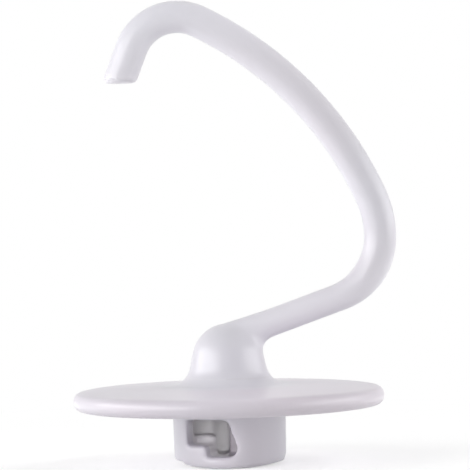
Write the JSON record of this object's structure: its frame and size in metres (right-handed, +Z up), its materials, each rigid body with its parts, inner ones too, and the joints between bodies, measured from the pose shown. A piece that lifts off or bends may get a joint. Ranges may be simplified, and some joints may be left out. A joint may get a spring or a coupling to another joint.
{
  "type": "stand mixer dough hook",
  "caption": "C-shaped kneading hook on a tapered column, with a round dough shield and a bayonet hub for a mixer's drive shaft.",
  "frame": {"origin": "on the hub axis, in the plane of the foot", "axes": "+Z up the column towards the hook, +X along the arm that leaves the column, -Y towards the viewer of the picture"},
  "size_m": [0.122, 0.116, 0.1732],
  "materials": {
    "white_coat": "smooth white baked coat, semi-gloss"
  },
  "bodies": {
    "root": {"dough_hook": "white_coat"}
  },
  "joints": []
}
